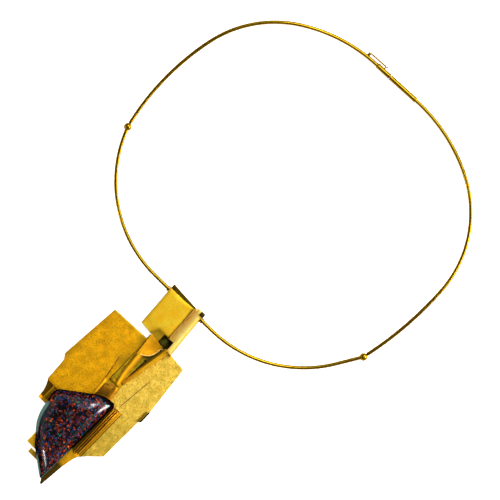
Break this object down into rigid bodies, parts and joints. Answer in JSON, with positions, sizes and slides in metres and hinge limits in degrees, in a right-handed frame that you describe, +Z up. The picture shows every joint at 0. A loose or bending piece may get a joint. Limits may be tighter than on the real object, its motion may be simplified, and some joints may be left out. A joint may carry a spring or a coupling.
{
  "type": "opal pendant on a hinged neck ring",
  "caption": "Rigid hinged neck ring of round gold wire with a folded sheet-gold pendant that holds a long dark opal.",
  "frame": {"origin": "middle of the surface that the necklace lies on, under the middle of its outline", "axes": "+Z up from the surface, +Y from the pendant's tip to the clasp, +X to the side of the right hinge"},
  "size_m": [0.1364, 0.2108, 0.0109],
  "materials": {
    "ring_gold": "polished",
    "pin_gold": "polished",
    "catch_gold": "polished",
    "bail_gold": "satin",
    "left_plate_gold": "fine matte grain",
    "right_plate_gold": "coarse matte grain",
    "setting_gold": "satin",
    "opal": "polished cabochon"
  },
  "bodies": {
    "front": {"front_wire": "ring_gold", "left_hinge_pin": "pin_gold", "right_hinge_pin": "pin_gold"},
    "pendant": {"bail_fold": "bail_gold", "left_plate": "left_plate_gold", "right_plate": "right_plate_gold", "stone_setting": "setting_gold", "opal": "opal"},
    "left_arc": {"left_arc": "ring_gold"},
    "right_arc": {"right_arc": "ring_gold"},
    "catch": {"catch_wire": "catch_gold"}
  },
  "joints": [
    {"name": "pendant_swing", "type": "hinge", "parent": "front", "child": "pendant", "pos_m": [-0.00054, -0.0162, 0.0046], "axis": [-1, 0, 0], "continuous": true},
    {"name": "right_hinge", "type": "hinge", "parent": "front", "child": "right_arc", "pos_m": [0.06362, 0.01776, 0.00359], "axis": [0, 0.0296, 0.9996], "range_deg": [-43, 0]},
    {"name": "left_hinge", "type": "hinge", "parent": "front", "child": "left_arc", "pos_m": [-0.06473, 0.01785, 0.00359], "axis": [0, 0.0296, 0.9996], "range_deg": [0, 50]},
    {"name": "catch_lift", "type": "hinge", "parent": "left_arc", "child": "catch", "pos_m": [-0.01729, 0.10411, 0.00103], "axis": [0, 0.0296, 0.9996], "range_deg": [0, 6]}
  ],
  "couplings": [
    {"joint": "left_hinge", "follows": "right_hinge", "ratio": -1.15}
  ]
}
